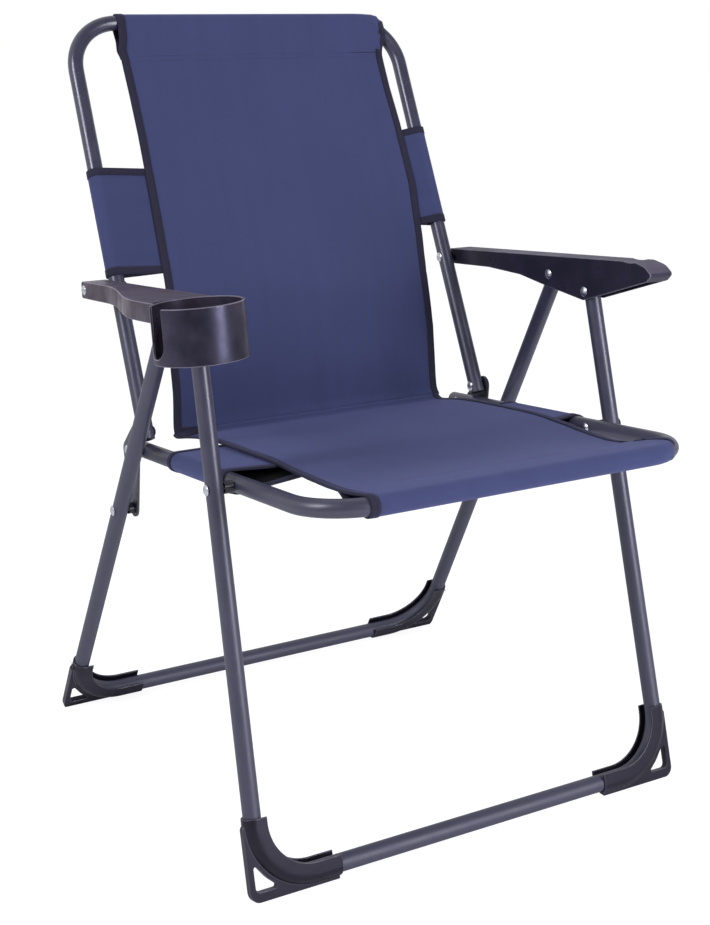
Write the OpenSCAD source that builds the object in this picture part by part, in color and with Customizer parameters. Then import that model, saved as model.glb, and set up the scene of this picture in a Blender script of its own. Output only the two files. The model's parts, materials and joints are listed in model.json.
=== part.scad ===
// Folding camp chair: four bent tube frames, two moulded armrests, a link plate on
// each side and a textile sling. The chair faces -Y. Left and right are those of
// someone who sits in it, so right is -X, the side with the cup holder.
// Each frame lies in a plane of its own, and every pivot is a point [y, z] on the
// centre lines of the two pieces that it joins.

/* [Frame tubes] */
// Outside diameter of the frame tubes
tube_d = 18; // [15:0.5:19]
// Wall of the frame tubes
tube_wall = 1.2; // [0.8:0.1:2]
// Radius of the tube bends, on the centre line
bend_r = 60; // [50:1:75]

/* [Front legs] */
// Half the width between the front legs' centre lines, at the floor bar
front_half_w = 251.2; // [235:0.1:290]
// Backward lean of the front legs
front_lean = 14.83; // [13:0.01:17]
// Angle by which each front leg leans inwards
front_taper = 0.6; // [0:0.1:1]
// Length along the front leg from its floor bar to the seat pivot
front_to_seat = 382.5; // [340:0.1:420]
// Length along the front leg from its floor bar to the armrest pivot
front_to_arm = 533.4; // [500:0.1:570]

/* [Rear legs] */
// Depth from the front floor bar to the rear floor bar
foot_depth = 487.2; // [470:0.1:505]
// How much wider the rear legs stand than the front legs, on each side
rear_extra_w = 5.7; // [4:0.1:9]
// Forward lean of the rear legs
rear_lean = 28.49; // [27:0.01:30]
// Angle by which each rear leg leans inwards
rear_taper = 1.04; // [0.6:0.01:1.3]
// Length along the rear leg from its floor bar to the link plate's pivot
rear_to_link = 321.1; // [300:0.1:335]
// Length along the rear leg from its floor bar to the armrest pivot
rear_to_arm = 598.7; // [580:0.1:615]

/* [Seat frame] */
// Slope of the seat, down towards the back
seat_slope = 5.77; // [3:0.01:8]
// Length from the seat's front bar back to the front legs' pivot
seat_front = 165.8; // [140:0.1:190]
// Length from the front legs' pivot back to the link plate's pivot
seat_to_link = 253.5; // [245:0.1:262]
// Length of the seat tubes behind the link plate's pivot
seat_tail = 17; // [14:0.5:24]

/* [Back frame] */
// Recline of the back from upright
back_lean = 25.22; // [22:0.01:28]
// Length from the link plate's seat pivot to its back pivot
link_short = 34.4; // [33:0.1:38]
// Lean of the link plate's short side from upright, towards the front
link_short_lean = 44.6; // [40:0.1:50]
// Length along the back tube from the link plate to the armrest pivot
back_to_arm = 168.1; // [155:0.1:180]
// Length along the back tube from the link plate to the top bar
back_len = 490.9; // [440:0.1:540]
// Length of the back tubes below the link plate's pivot
back_tail = 8; // [6:0.5:9]

/* [Joints] */
// Diameter of the rivet shanks
rivet_d = 6; // [4:0.5:7]
// Diameter of the rivet heads
rivet_head_d = 11.5; // [9:0.5:12.5]
// Height of the rivet heads
rivet_head_h = 2.2; // [1.5:0.1:2.5]
// Running clearance of a rivet in its holes
rivet_gap = 0.05; // [0.02:0.01:0.1]
// Side clearance between parts that turn against each other
side_gap = 0.15; // [0.1:0.05:0.25]
// Thickness of the link plates
plate_t = 2.5; // [2:0.1:3]
// Radius of the link plates' lobes
plate_r = 10.5; // [9:0.1:11.5]
// Space between a rear leg and its link plate
leg_to_plate = 7.3; // [6:0.1:9]
// Space between a link plate and the seat tube
plate_to_seat = 4.5; // [3.5:0.1:5.5]
// Space between a link plate and the back tube
plate_to_back = 1.5; // [1.2:0.1:2]
// Outside diameter of the spacer bushes
bush_d = 12.5; // [11:0.5:14]

/* [Armrests] */
// Slope of the armrests, down towards the back
arm_slope = 5.2; // [4:0.1:6.5]
// Width of the plain armrest
arm_w = 30.5; // [29:0.5:36]
// Wall of the armrest mouldings
arm_wall = 2.5; // [2:0.1:3]
// Height of the armrest's top face above the back pivot
arm_rise = 9.4; // [8.5:0.1:11]
// Length of the armrest behind the back pivot
arm_tail = 8; // [7:0.5:12]
// Length from the back pivot forward to the tip of the plain armrest's nose
arm_reach = 374; // [366:0.5:385]
// Length over which the nose curls down
nose_len = 29; // [22:0.5:36]
// Height of the nose
nose_h = 21.5; // [18:0.5:24]
// Space between the front leg's tube and the armrest's inner wall
arm_side_gap = 0.35; // [0.2:0.05:0.8]

/* [Cup holder] */
// Outside radius of the cup ring
cup_r = 45; // [42:0.5:48]
// Wall of the cup ring
cup_wall = 2.5; // [2:0.1:3.5]
// Height of the cup ring
cup_h = 54; // [45:0.5:65]
// Height of the cup's rim above the armrest's top face
cup_proud = 1.4; // [0.5:0.1:4]
// Space from the front leg's tube forward to the cup ring
cup_gap = 10.5; // [8:0.5:20]
// Outward lean of the cup
cup_lean = 2.5; // [0:0.5:4]
// Space from the armrest's inner face out to the cup's axis
cup_offset = 37; // [33:0.5:42]
// Width of the slot for a mug's handle
slot_w = 34; // [24:0.5:36]
// Height left below the mug slot
slot_sill = 6; // [4:0.5:12]
// Width of the ledge that a cup stands on
cup_ledge = 14; // [6:0.5:20]

/* [Corner shoes] */
// Height of the floor bars' centre above the floor
foot_h = 12.5; // [12:0.1:18]
// Wall of the corner shoes
shoe_wall = 2; // [1.6:0.1:2.5]
// Height of the shoe's side flanges past the tube
shoe_flange = 2.2; // [1.5:0.1:8]
// Length of the shoe along the floor bar, from the end of the bend
shoe_run = 26.5; // [20:0.5:40]
// Length of the shoe up the leg, from the end of the bend
shoe_rise = 6; // [3:1:20]
// Thickness of the gusset outside the bend
gusset_w = 7.5; // [5:0.5:12]
// Width of the gusset's outer rib
rib_out = 6.6; // [5:0.1:9]
// Height of the gusset's floor rib
rib_floor = 8.4; // [6:0.1:10]
// Rounding of the shoe's outer corner
shoe_corner = 11; // [6:0.5:14]
// Space from the leg's centre line out to the shoe's outer face
shoe_out = 12.2; // [11.8:0.1:16]

/* [Sling] */
// Space between the sling's edges and the back tubes, right and left
sling_gap = [50.8, 12.8]; // [12:0.1:52]
// Thickness of the sling's cloth, hems and padding included
cloth_t = 1.6; // [1:0.1:2]
// Clearance of the cloth round a tube
cloth_gap = 0.3; // [0.2:0.05:0.6]
// Depth of the stitched casing on the top bar
casing_depth = 35; // [25:1:50]
// Length along the back tube at which the cloth leaves the frame's plane
hang_from = 159; // [120:1:170]
// How far the slack cloth hangs behind the back frame at the seat
hang_back = 50; // [40:1:58]
// Length of the side tabs along the tubes
tab_len = 126; // [90:1:140]
// Lower ends of the back tabs above the link pivot, right and left
back_tab_at = [181, 214]; // [180:1:230]
// Front end of the seat tabs behind the front legs' pivot
seat_tab_at = 28; // [20:1:60]

/* [Hidden] */

turn = 180;
square_angle = 90;
tube_r = tube_d / 2;
bore_r = tube_r - tube_wall;
rivet_r = rivet_d / 2;
hole_r = rivet_r + rivet_gap;
leg_over = 11;
past = 1;
hole_fn = 48;
tube_fn = 64;
bend_swell = 0.02;
bend_lap = 1;
shoe_gap = 0.1;

// Small features of the corner shoes.
gusset_short = 1.5;
gusset_drop = 3;
edge_r = 2;
window_slack = 10;
window_inset = 2.8;
window_corner = 5;
window_arc = 40;

// Small features of the armrests.
pivot_cover = 10;
tail_r = 3;
nose_chin = [0.31, 1, 4];
nose_tip = [0, 0.65, 3.5];
nose_brow = [0.38, 0.22, 20];
nose_r = 20;
nose_run = 25;
groove_at = 43;
groove_turn = 30;
groove_r = 40;
groove_deep = 1.4;
wall_inset = 2;
belly = 3.5;
belly_at = [75, 56, 8, 2];
belly_r = [60, 40, 10];
outer_drop = 0.6;
flare_from = 60;
flare_end = 29;
flare_share = 0.72;
flare_steps = 12;
slot_turn = 6;
slot_round = 0.42;

// Small features of the plugs.
plug_stem = 12;
plug_cap = [5, 2];
plug_rim = 0.3;
plug_space = 0.5;
head_flat = 0.3;

// Small features of the sling.
hang_steps = 8;
hang_power = 1.5;
crook_s = 5;
crook_r = 14;
crook_from = [65, 28];
crook_dip = 2;
crook_arc = 100;
crook_step = 20;
crook_off = [0.4, 1.2];
seam_w = 14;
touch = 0.01;

arc_steps = 8;

// A point [y, z] at a length along a line that leans back from upright.
function along(from, lean, s) = from + s * [sin(lean), cos(lean)];

front_foot = [0, foot_h];
rear_foot = [foot_depth, foot_h];
p_seat = along(front_foot, front_lean, front_to_seat);
p_front_arm = along(front_foot, front_lean, front_to_arm);
p_rear_link = along(rear_foot, -rear_lean, rear_to_link);
p_rear_arm = along(rear_foot, -rear_lean, rear_to_arm);
seat_lean = square_angle + seat_slope;
p_seat_link = along(p_seat, seat_lean, seat_to_link);
p_back_link = along(p_seat_link, -link_short_lean, link_short);
p_back_arm = along(p_back_link, back_lean, back_to_arm);
p_top_bar = along(p_back_link, back_lean, back_len);
p_front_bar = along(p_seat, seat_lean, -seat_front);

// Distances from the chair's middle plane, from the legs inwards.
rear_half_w = front_half_w + rear_extra_w;
function front_x(s) = front_half_w - s * tan(front_taper);
function rear_x(s) = rear_half_w - s * tan(rear_taper);
plate_out_x = rear_x(rear_to_link) - tube_r - leg_to_plate;
plate_in_x = plate_out_x - plate_t;
seat_x = plate_in_x - plate_to_seat - tube_r;
back_x = plate_in_x - plate_to_back - tube_r;
arm_in_x = front_x(front_to_arm) - tube_r - arm_side_gap - arm_wall;
arm_out_x = arm_in_x + arm_w;
cup_x = arm_in_x + cup_offset;

// The origin is on the floor under the middle of the chair's outline.
casing_r = tube_r + cloth_gap + cloth_t;
mid_x = (rear_half_w + shoe_out - cup_x - cup_r) / 2;
mid_y = (p_front_bar[0] + p_top_bar[0]) / 2;

// ---- Places and planes ----

module chair_at_origin() { translate([-mid_x, -mid_y, 0]) children(); }

// Moves the XZ plane to a frame's plane: its Z axis runs from a point at a lean.
module frame_plane(from, lean) {
    translate([0, from[0], from[1]]) rotate([-lean, 0, 0]) children();
}

module on_side(side) { mirror([side < 0 ? 1 : 0, 0, 0]) children(); }
module both_sides() { for (side = [-1, 1]) on_side(side) children(); }

// A pivot's axis at [y, z], with Z turned to point outwards along X from x.
module at_pivot(p, x) { translate([x, p[0], p[1]]) rotate([0, square_angle, 0]) children(); }

// Extrudes each outline drawn in [y, z] along X, from x over a width.
module side_plate(x, w) {
    translate([x, 0, 0]) rotate([square_angle, 0, square_angle])
        for (i = [0 : $children - 1]) linear_extrude(w) children(i);
}

// ---- Outlines ----

function unit(v) = v / norm(v);

// Rounds the corners of an outline given as [x, y, radius].
function corner_arc(a, b, c) =
    let (u = unit([a[0] - b[0], a[1] - b[1]]), v = unit([c[0] - b[0], c[1] - b[1]]),
         half = acos(max(-1, min(1, u * v))) / 2, reach = b[2] / tan(half),
         side = u[0] * v[1] - u[1] * v[0] > 0 ? 1 : -1,
         centre = [b[0], b[1]] + unit(u + v) * b[2] / sin(half),
         from = [b[0], b[1]] + u * reach - centre)
    [for (i = [0 : arc_steps])
        let (t = side * i / arc_steps * (2 * half - turn))
        centre + [from[0] * cos(t) - from[1] * sin(t), from[0] * sin(t) + from[1] * cos(t)]];
function rounded(pts) = [for (i = [0 : len(pts) - 1])
    let (n = len(pts), b = pts[i])
    each b[2] > 0 ? corner_arc(pts[(i + n - 1) % n], b, pts[(i + 1) % n]) : [[b[0], b[1]]]];

// A strip of cloth of even thickness along a path.
function path_normal(p, i) =
    let (a = p[max(i - 1, 0)], b = p[min(i + 1, len(p) - 1)], d = unit(b - a)) [-d[1], d[0]];
function strip(p, t) = concat(
    [for (i = [0 : len(p) - 1]) p[i] + path_normal(p, i) * t / 2],
    [for (i = [len(p) - 1 : -1 : 0]) p[i] - path_normal(p, i) * t / 2]);

// ---- Bent tubes ----

// A U of round bar: a straight bar along X at z = 0, two bends and two legs.
// The bends are a hair thicker, so that each straight ends inside one.
module u_bar(half_w, taper, reach, r) {
    tangent = bend_r * tan((square_angle + taper) / 2);
    translate([tangent - half_w - bend_lap, 0, 0]) rotate([0, square_angle, 0])
        cylinder(r = r, h = 2 * (half_w - tangent + bend_lap), $fn = tube_fn);
    for (side = [0, turn]) rotate([0, 0, side]) translate([half_w - tangent, 0, bend_r]) {
        rotate([square_angle, 0, 0]) rotate([0, 0, -square_angle])
            rotate_extrude(angle = square_angle + taper, $fn = tube_fn)
            translate([bend_r, 0]) circle(r = r + bend_swell);
        rotate([0, -taper, 0]) translate([bend_r, 0, -bend_lap])
            cylinder(r = r, h = reach - tangent + bend_lap, $fn = tube_fn);
    }
}

module u_tube(half_w, taper, reach) {
    difference() {
        u_bar(half_w, taper, reach, tube_r);
        u_bar(half_w, taper, reach + past, bore_r);
    }
}

// Cuts a pivot's hole across a tube on each side of a frame.
module pivot_holes(p, x) {
    both_sides() at_pivot(p, x - tube_d) cylinder(r = hole_r, h = 2 * tube_d, $fn = hole_fn);
}

module rear_leg_frame() {
    color("#4a4b52") chair_at_origin() difference() {
        frame_plane(rear_foot, -rear_lean) u_tube(rear_half_w, rear_taper, rear_to_arm + leg_over);
        pivot_holes(p_rear_link, rear_x(rear_to_link));
        pivot_holes(p_rear_arm, rear_x(rear_to_arm));
    }
}

module front_leg_frame() {
    color("#4a4b52") chair_at_origin() difference() {
        frame_plane(front_foot, front_lean)
            u_tube(front_half_w, front_taper, front_to_arm + leg_over);
        pivot_holes(p_seat, front_x(front_to_seat));
        pivot_holes(p_front_arm, front_x(front_to_arm));
    }
}

module seat_frame() {
    color("#4a4b52") chair_at_origin() difference() {
        frame_plane(p_front_bar, seat_lean)
            u_tube(seat_x, 0, seat_front + seat_to_link + seat_tail);
        pivot_holes(p_seat, seat_x);
        pivot_holes(p_seat_link, seat_x);
    }
}

module back_frame() {
    color("#4a4b52") chair_at_origin() difference() {
        frame_plane(p_top_bar, back_lean + turn) u_tube(back_x, 0, back_len + back_tail);
        pivot_holes(p_back_link, back_x);
        pivot_holes(p_back_arm, back_x);
    }
}

// ---- Corner shoes ----

// Section of the shoe's channel round the tube, open towards the bend's centre at -X.
module shoe_section(swell) {
    r = tube_r + shoe_gap;
    out_r = r + shoe_wall + swell;
    difference() {
        union() {
            circle(r = out_r, $fn = tube_fn);
            translate([-tube_r - shoe_flange - swell, -out_r])
                square([tube_r + shoe_flange + swell, 2 * out_r]);
        }
        circle(r = r - swell, $fn = tube_fn);
        translate([-tube_d - shoe_flange, swell - r])
            square([tube_d + shoe_flange, 2 * (r - swell)]);
    }
}

// Outline of the gusset outside the bend, in the leg's plane.
module gusset_outline(half_w, tangent, low) {
    out_x = half_w + shoe_out;
    in_x = half_w - tangent - shoe_run + gusset_short;
    polygon(rounded([
        [in_x, -tube_r - shoe_wall / 2, 0],
        [in_x, low, 0],
        [out_x, low, shoe_corner],
        [out_x, bend_r - gusset_drop, edge_r],
        [half_w + tube_r + shoe_wall / 2, bend_r, 0],
        [half_w - tangent, -tube_r - shoe_wall / 2, 0]]));
}

// Rounded triangular window between the channel and the two ribs.
module gusset_window(half_w, tangent) {
    out_x = half_w + shoe_out - rib_out;
    floor_z = -foot_h + rib_floor;
    gap = bend_r + tube_r + shoe_wall;
    reach = sqrt(gap * gap - pow(bend_r - floor_z, 2));
    rise = sqrt(gap * gap - pow(out_x - half_w + tangent, 2));
    arc = gap * cos(turn / 4) + window_inset;
    polygon(rounded([
        [half_w - tangent + reach + window_slack, floor_z, edge_r],
        [out_x, floor_z, window_corner],
        [out_x, bend_r - rise - window_slack, edge_r],
        [half_w - tangent + arc, bend_r - arc, window_arc]]));
}

module corner_shoe(half_w, taper, low) {
    tangent = bend_r * tan((square_angle + taper) / 2);
    translate([half_w - tangent, 0, bend_r]) {
        rotate([square_angle, 0, 0]) rotate([0, 0, -square_angle])
            rotate_extrude(angle = square_angle + taper, $fn = tube_fn)
            translate([bend_r, 0]) shoe_section(bend_swell);
        rotate([0, -taper, 0]) translate([bend_r, 0, -bend_lap])
            linear_extrude(shoe_rise + bend_lap) shoe_section(0);
    }
    translate([half_w - tangent + bend_lap, 0, 0]) rotate([0, -square_angle, 0])
        linear_extrude(shoe_run + bend_lap) mirror([1, 0]) shoe_section(0);
    rotate([square_angle, 0, 0]) linear_extrude(gusset_w, center = true) difference() {
        gusset_outline(half_w, tangent, low);
        translate([half_w - tangent, bend_r])
            circle(r = bend_r + tube_r + shoe_wall / 2, $fn = 2 * tube_fn);
        gusset_window(half_w, tangent);
    }
}

module placed_shoe(from, lean, half_w, taper, side) {
    low = -foot_h / cos(lean) - gusset_w / 2 * tan(abs(lean));
    color("#2a2a2d") chair_at_origin() on_side(side) difference() {
        frame_plane(from, lean) corner_shoe(half_w, taper, low);
        translate([0, from[0] - foot_depth, -foot_depth])
            cube([foot_depth, 2 * foot_depth, foot_depth]);
    }
}

module shoe_rear_right() { placed_shoe(rear_foot, -rear_lean, rear_half_w, rear_taper, -1); }
module shoe_rear_left() { placed_shoe(rear_foot, -rear_lean, rear_half_w, rear_taper, 1); }
module shoe_front_right() { placed_shoe(front_foot, front_lean, front_half_w, front_taper, -1); }
module shoe_front_left() { placed_shoe(front_foot, front_lean, front_half_w, front_taper, 1); }

// ---- Armrests ----

// The armrest's own plane: the back pivot is its origin, -Y is forward along the slope.
module arm_plane() { frame_plane(p_back_arm, arm_slope) children(); }
function arm_local(p) =
    let (d = p - p_back_arm)
    [d[0] * cos(arm_slope) - d[1] * sin(arm_slope), d[0] * sin(arm_slope) + d[1] * cos(arm_slope)];
a_rear = arm_local(p_rear_arm);
a_front = arm_local(p_front_arm);
cup_reach = tube_r + cup_gap + cup_r - a_front[0];

// Underside of the walls, from the tail to the deepest point at the front leg.
arm_underside = [
    [arm_tail, -arm_rise, tail_r],
    [-belly_at[0], -arm_rise - past, belly_r[0]],
    [a_rear[0] + belly_at[1], a_rear[1] - belly, belly_r[1]],
    [a_rear[0] + belly_at[2], a_rear[1] - pivot_cover - belly, 0],
    [a_front[0] + belly_at[3], a_front[1] - pivot_cover, belly_r[2]]];

// A point of the nose at shares of its length, from the tip back, and of its height.
function nose_at(share) = [share[0] * nose_len - arm_reach, arm_rise - share[1] * nose_h];

module arm_walls_outline() {
    polygon(rounded(concat(
        [[arm_tail, arm_rise, tail_r]], arm_underside,
        [for (share = [nose_chin, nose_tip, nose_brow]) concat(nose_at(share), share[2])],
        [[nose_len - arm_reach, arm_rise, nose_r]])));
}

// Hollow of the channel seen from the side: open below, under the web and behind the nose.
module arm_hollow_outline() {
    deep = 2 * cup_h;
    front_y = nose_at(nose_chin)[0] + arm_wall;
    polygon([
        [arm_tail - arm_wall, arm_rise - arm_wall], [arm_tail - arm_wall, -deep],
        [front_y, -deep], [front_y, nose_at(nose_brow)[1] - 2 * arm_wall],
        [nose_len - arm_reach, arm_rise - 2 * arm_wall],
        [nose_len + nose_run - arm_reach, arm_rise - 2 * arm_wall],
        [nose_len + nose_run + arm_wall - arm_reach, arm_rise - arm_wall]]);
}

// A shallow groove runs aslant over the top, where the nose begins.
module nose_groove() {
    translate([arm_in_x + arm_w / 2, groove_at - arm_reach, arm_rise + groove_r - groove_deep])
        rotate([0, square_angle, groove_turn])
        cylinder(r = groove_r, h = 2 * arm_w, center = true, $fn = 2 * tube_fn);
}

module armrest_plain() {
    color("#2a2a2d") chair_at_origin() difference() {
        arm_plane() difference() {
            side_plate(arm_in_x, arm_w) arm_walls_outline();
            side_plate(arm_in_x + arm_wall, arm_w - 2 * arm_wall) arm_hollow_outline();
            nose_groove();
        }
        arm_rivet_holes(1);
    }
}

// Holes for the leg rivets in the inner wall, and for the back rivet through both walls.
module arm_rivet_holes(side) {
    on_side(side) {
        for (p = [p_rear_arm, p_front_arm])
            at_pivot(p, arm_in_x - past)
                cylinder(r = hole_r, h = arm_wall + 2 * past, $fn = hole_fn);
        at_pivot(p_back_arm, arm_in_x - past)
            cylinder(r = hole_r, h = arm_w + 2 * past, $fn = hole_fn);
    }
}

// Plan of the cup armrest: straight inside, and swept outside towards the cup.
cup_wall_x = arm_out_x - wall_inset;
function cup_arm_edge(inset) =
    let (out = cup_x + cup_r * flare_share, run = cup_reach - cup_r - flare_end - flare_from)
    [for (i = [0 : flare_steps])
        let (t = i / flare_steps)
        [cup_wall_x - inset + (out - cup_wall_x) * t * t * (3 - 2 * t), -flare_from - run * t]];
module cup_arm_plan(inset) {
    polygon(concat(
        [[arm_in_x + inset, -cup_reach], [arm_in_x + inset, arm_tail - inset],
         [cup_wall_x - inset, arm_tail - inset]],
        cup_arm_edge(inset), [[cup_x + cup_r * flare_share - inset, -cup_reach]]));
}

cup_rim = arm_rise + cup_proud;
cup_bottom = cup_rim - cup_h;

module cup_axis() {
    translate([cup_x, -cup_reach, cup_bottom]) rotate([0, cup_lean, 0]) children();
}

module cup_arm_shell() {
    deep = 2 * cup_h;
    difference() {
        intersection() {
            side_plate(arm_in_x, cup_x + cup_r - arm_in_x) polygon(rounded(concat(
                [[arm_tail, arm_rise, tail_r]], arm_underside,
                [[-cup_reach, cup_bottom + past, 0], [-cup_reach, arm_rise, 0]])));
            translate([0, 0, -deep]) linear_extrude(2 * deep) cup_arm_plan(0);
        }
        difference() {
            translate([0, 0, -deep]) linear_extrude(deep + arm_rise - arm_wall)
                cup_arm_plan(arm_wall);
            cup_axis() translate([0, 0, -cup_h]) cylinder(r = cup_r, h = 3 * cup_h, $fn = 2 * tube_fn);
        }
        translate([arm_in_x + arm_wall, -2 * cup_reach, -deep - arm_rise - outer_drop])
            cube([2 * cup_r + cup_offset, 3 * cup_reach, deep]);
    }
}

// Slot for a mug's handle in the ring's outer side, open at the rim.
module mug_slot() {
    r = slot_w * slot_round;
    translate([0, 0, slot_sill + r]) {
        rotate([square_angle, 0, square_angle]) linear_extrude(2 * cup_r) {
            for (y = [-1, 1]) translate([y * (slot_w / 2 - r), 0]) circle(r = r, $fn = hole_fn);
            translate([-slot_w / 2, 0]) square([slot_w, cup_h]);
            translate([r - slot_w / 2, -r]) square([slot_w - 2 * r, cup_h]);
        }
    }
}

module armrest_cup() {
    color("#2a2a2d") chair_at_origin() difference() {
        mirror([1, 0, 0]) arm_plane() difference() {
            union() {
                cup_arm_shell();
                cup_axis() cylinder(r = cup_r, h = cup_h, $fn = 2 * tube_fn);
            }
            cup_axis() {
                translate([0, 0, arm_wall])
                    cylinder(r = cup_r - cup_wall, h = cup_h, $fn = 2 * tube_fn);
                translate([0, 0, -past])
                    cylinder(r = cup_r - cup_wall - cup_ledge, h = cup_h, $fn = tube_fn);
                rotate([0, 0, slot_turn]) mug_slot();
            }
        }
        arm_rivet_holes(-1);
    }
}

// ---- Link plates ----

// The corner, moved out by r from both of its sides, and rounded to r.
function lobe(a, b, c, r) =
    let (u = unit(a - b), v = unit(c - b), half = acos(u * v) / 2, out = unit(-u - v))
    concat(b + out * r / sin(half), r);

module link_plate(side) {
    corners = [p_back_link, p_seat_link, p_rear_link];
    color("#3a3b40") chair_at_origin() on_side(side) difference() {
        side_plate(plate_in_x, plate_t) polygon(rounded([for (i = [0 : 2])
            lobe(corners[(i + 2) % 3], corners[i], corners[(i + 1) % 3], plate_r)]));
        for (p = corners)
            at_pivot(p, plate_in_x - past)
                cylinder(r = hole_r, h = plate_t + 2 * past, $fn = hole_fn);
    }
}

module link_plate_right() { link_plate(-1); }
module link_plate_left() { link_plate(1); }

// ---- Plugs, rivets, bushes and washers ----

// Half outline of a dome: its foot radius r and height h, as a circular arc.
function dome(r, h, n = 6) =
    let (big = (r * r + h * h) / (2 * h), top = asin(r / big))
    [for (i = [0 : n]) let (t = top * (1 - i / n)) [big * sin(t), big * cos(t) - big + h]];

// A plug in a tube's end: a stem inside the tube and a domed cap over its rim.
module end_plug(tail, cap_h) {
    rim_h = cap_h * plug_rim;
    stem = min(plug_stem, tail - rivet_r - plug_space);
    translate([0, 0, -stem]) cylinder(r = bore_r - rivet_gap, h = stem, $fn = tube_fn);
    rotate_extrude($fn = tube_fn)
        polygon(concat([[0, 0], [tube_r, 0]],
            [for (p = dome(tube_r, cap_h - rim_h)) p + [0, rim_h]]));
}

module seat_end_plugs() {
    color("#1d1d20") chair_at_origin() frame_plane(p_seat_link, seat_lean)
        for (x = [-seat_x, seat_x]) translate([x, 0, seat_tail]) end_plug(seat_tail, plug_cap[0]);
}

module back_end_plugs() {
    color("#1d1d20") chair_at_origin() frame_plane(p_back_link, back_lean + turn)
        for (x = [-back_x, back_x]) translate([x, 0, back_tail]) end_plug(back_tail, plug_cap[1]);
}

module rivet_head() {
    rotate_extrude($fn = tube_fn) polygon(concat([[0, 0]], dome(rivet_head_d / 2, rivet_head_h)));
}

// A rivet along Z with a domed head at each end of its grip.
module rivet(grip) {
    cylinder(r = rivet_r, h = grip, $fn = hole_fn);
    translate([0, 0, grip]) rivet_head();
    mirror([0, 0, 1]) rivet_head();
}

// A rivet with a head at z = 0 only, and a shank that ends flush.
module stub_rivet(grip) {
    cylinder(r = rivet_r, h = grip, $fn = hole_fn);
    mirror([0, 0, 1]) rivet_head();
}

module ring(d, h) {
    difference() {
        cylinder(d = d, h = h, $fn = tube_fn);
        translate([0, 0, -past]) cylinder(r = hole_r, h = h + 2 * past, $fn = hole_fn);
    }
}

// A ring that fills the space between two parts, less the side clearance.
module spacer(p, x, space) {
    color("#1d1d20") chair_at_origin() both_sides()
        at_pivot(p, x + side_gap) ring(bush_d, space - 2 * side_gap);
}

rear_arm_x = rear_x(rear_to_arm);
front_arm_x = front_x(front_to_arm);
front_seat_x = front_x(front_to_seat);
rear_link_x = rear_x(rear_to_link);

module steel_rivets(p, x, grip) {
    color("silver") chair_at_origin() both_sides() at_pivot(p, x) rivet(grip);
}

module rivets_rear_leg_arm() {
    steel_rivets(p_rear_arm, arm_in_x - side_gap, rear_arm_x + tube_r + 2 * side_gap - arm_in_x);
}
module washers_rear_leg_arm() {
    spacer(p_rear_arm, arm_in_x + arm_wall, rear_arm_x - tube_r - arm_in_x - arm_wall);
}
module rivets_front_leg_arm() {
    steel_rivets(p_front_arm, arm_in_x - side_gap, front_arm_x + tube_r + 2 * side_gap - arm_in_x);
}
module rivets_front_leg_seat() {
    steel_rivets(p_seat, seat_x - tube_r - side_gap,
        front_seat_x - seat_x + tube_d + 2 * side_gap);
}
module bushes_front_leg_seat() {
    spacer(p_seat, seat_x + tube_r, front_seat_x - seat_x - tube_d);
}
module rivets_seat_link() {
    steel_rivets(p_seat_link, seat_x - tube_r - side_gap,
        plate_out_x - seat_x + tube_r + 2 * side_gap);
}
module bushes_seat_link() { spacer(p_seat_link, seat_x + tube_r, plate_to_seat); }
module rivets_back_link() {
    steel_rivets(p_back_link, back_x - tube_r - side_gap,
        plate_out_x - back_x + tube_r + 2 * side_gap);
}
module washers_back_link() { spacer(p_back_link, back_x + tube_r, plate_to_back); }

// The two pivots that part as the chair folds: each side keeps its half of the rivet.
module rivets_back_arm() {
    color("silver") chair_at_origin() both_sides()
        at_pivot(p_back_arm, back_x - tube_r - side_gap) stub_rivet(tube_d + side_gap);
}
module washers_back_arm() {
    spacer(p_back_arm, back_x + tube_r, arm_in_x - back_x - tube_r - side_gap);
}
module rivet_arm(side) {
    out = side < 0 ? cup_wall_x : arm_out_x;
    color("silver") chair_at_origin() on_side(side) at_pivot(p_back_arm, out + side_gap)
        mirror([0, 0, 1]) stub_rivet(out + side_gap - arm_in_x);
}
module rivet_arm_cup() { rivet_arm(-1); }
module rivet_arm_plain() { rivet_arm(1); }
module rivets_rear_leg_link() {
    color("silver") chair_at_origin() both_sides()
        at_pivot(p_rear_link, rear_link_x + tube_r + side_gap)
        mirror([0, 0, 1]) stub_rivet(tube_d + leg_to_plate - side_gap);
}
module bushes_rear_leg_link() {
    spacer(p_rear_link, plate_out_x + side_gap, leg_to_plate - side_gap);
}
module rivet_link(side) {
    color("silver") chair_at_origin() on_side(side) at_pivot(p_rear_link, plate_in_x)
        difference() {
            stub_rivet(plate_t);
            translate([0, 0, -rivet_head_h - plate_to_back + head_flat])
                cylinder(r = tube_r, h = rivet_head_h, $fn = hole_fn);
        }
}
module rivet_link_right() { rivet_link(-1); }
module rivet_link_left() { rivet_link(1); }

// ---- Sling ----

function sling_edge(side) = back_x - tube_r - sling_gap[side < 0 ? 0 : 1];
sling_from = -sling_edge(-1);
sling_w = sling_edge(1) - sling_from;

// A sleeve of cloth round a bar that runs along X at [y, z]. The bends run out through it.
module sleeve_outline(p) {
    translate(p) difference() {
        circle(r = casing_r, $fn = tube_fn);
        circle(r = casing_r - cloth_t, $fn = tube_fn);
    }
}

// Back cloth: down the frame's plane, then hanging free behind it to the crook.
function back_cloth(s) =
    let (t = max(0, 1 - s / hang_from), n = hang_back * pow(t, hang_power))
    along(p_back_link, back_lean, s) + n * [cos(back_lean), -sin(back_lean)];
back_path = concat(
    [along(p_top_bar, back_lean, -tube_r - cloth_gap - cloth_t / 2)],
    [for (i = [0 : hang_steps]) back_cloth(hang_from + (crook_s - hang_from) * i / hang_steps)]);
crook = back_path[len(back_path) - 1];

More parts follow.
